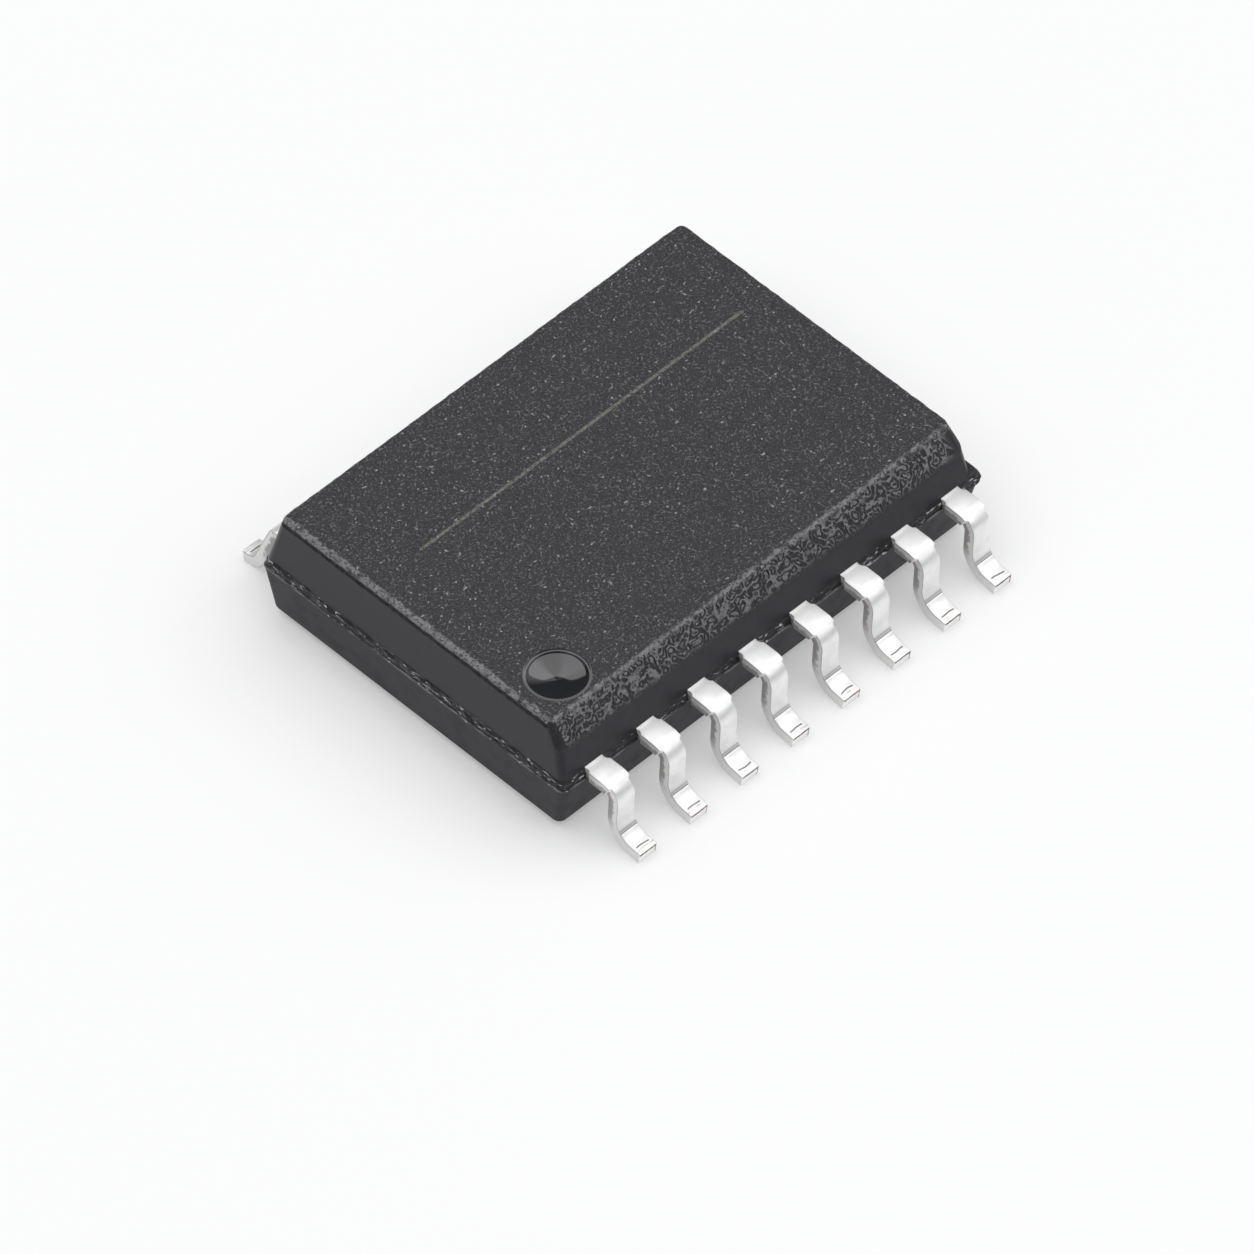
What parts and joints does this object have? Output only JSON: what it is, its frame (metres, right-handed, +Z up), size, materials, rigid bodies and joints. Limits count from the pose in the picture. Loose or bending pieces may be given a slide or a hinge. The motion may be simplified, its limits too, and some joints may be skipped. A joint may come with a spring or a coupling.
{
  "type": "power module",
  "caption": "Isolated power module in a black moulded wide small-outline body, with gull-wing leads along both long sides and a dimple beside the first lead.",
  "frame": {"origin": "middle of the footprint, on the board that the toes stand on", "axes": "+X along the lead rows, away from lead 1; +Y from the lead 1 row to the other row; +Z up from the board"},
  "size_m": [0.0106, 0.01, 0.0025],
  "materials": {
    "resin": "eroded-texture top, satin sides",
    "tin": "matte tin plating on copper alloy",
    "silicon": "polished",
    "laminate": "glass-filled board",
    "ferrite": "ground",
    "gold": "drawn wire"
  },
  "bodies": {
    "root": {"moulded_body": "resin", "primary_frame": "tin", "secondary_frame": "tin", "lead_1": "tin", "lead_3": "tin", "lead_4": "tin", "lead_5": "tin", "lead_6": "tin", "lead_8": "tin", "lead_9": "tin", "lead_11": "tin", "lead_12": "tin", "lead_13": "tin", "lead_14": "tin", "lead_16": "tin", "primary_die": "silicon", "secondary_die": "silicon", "transformer_laminate": "laminate", "upper_ferrite": "ferrite", "lower_ferrite": "ferrite", "primary_bond_wires": "gold", "secondary_bond_wires": "gold", "coil_bond_wires": "gold"}
  },
  "joints": []
}
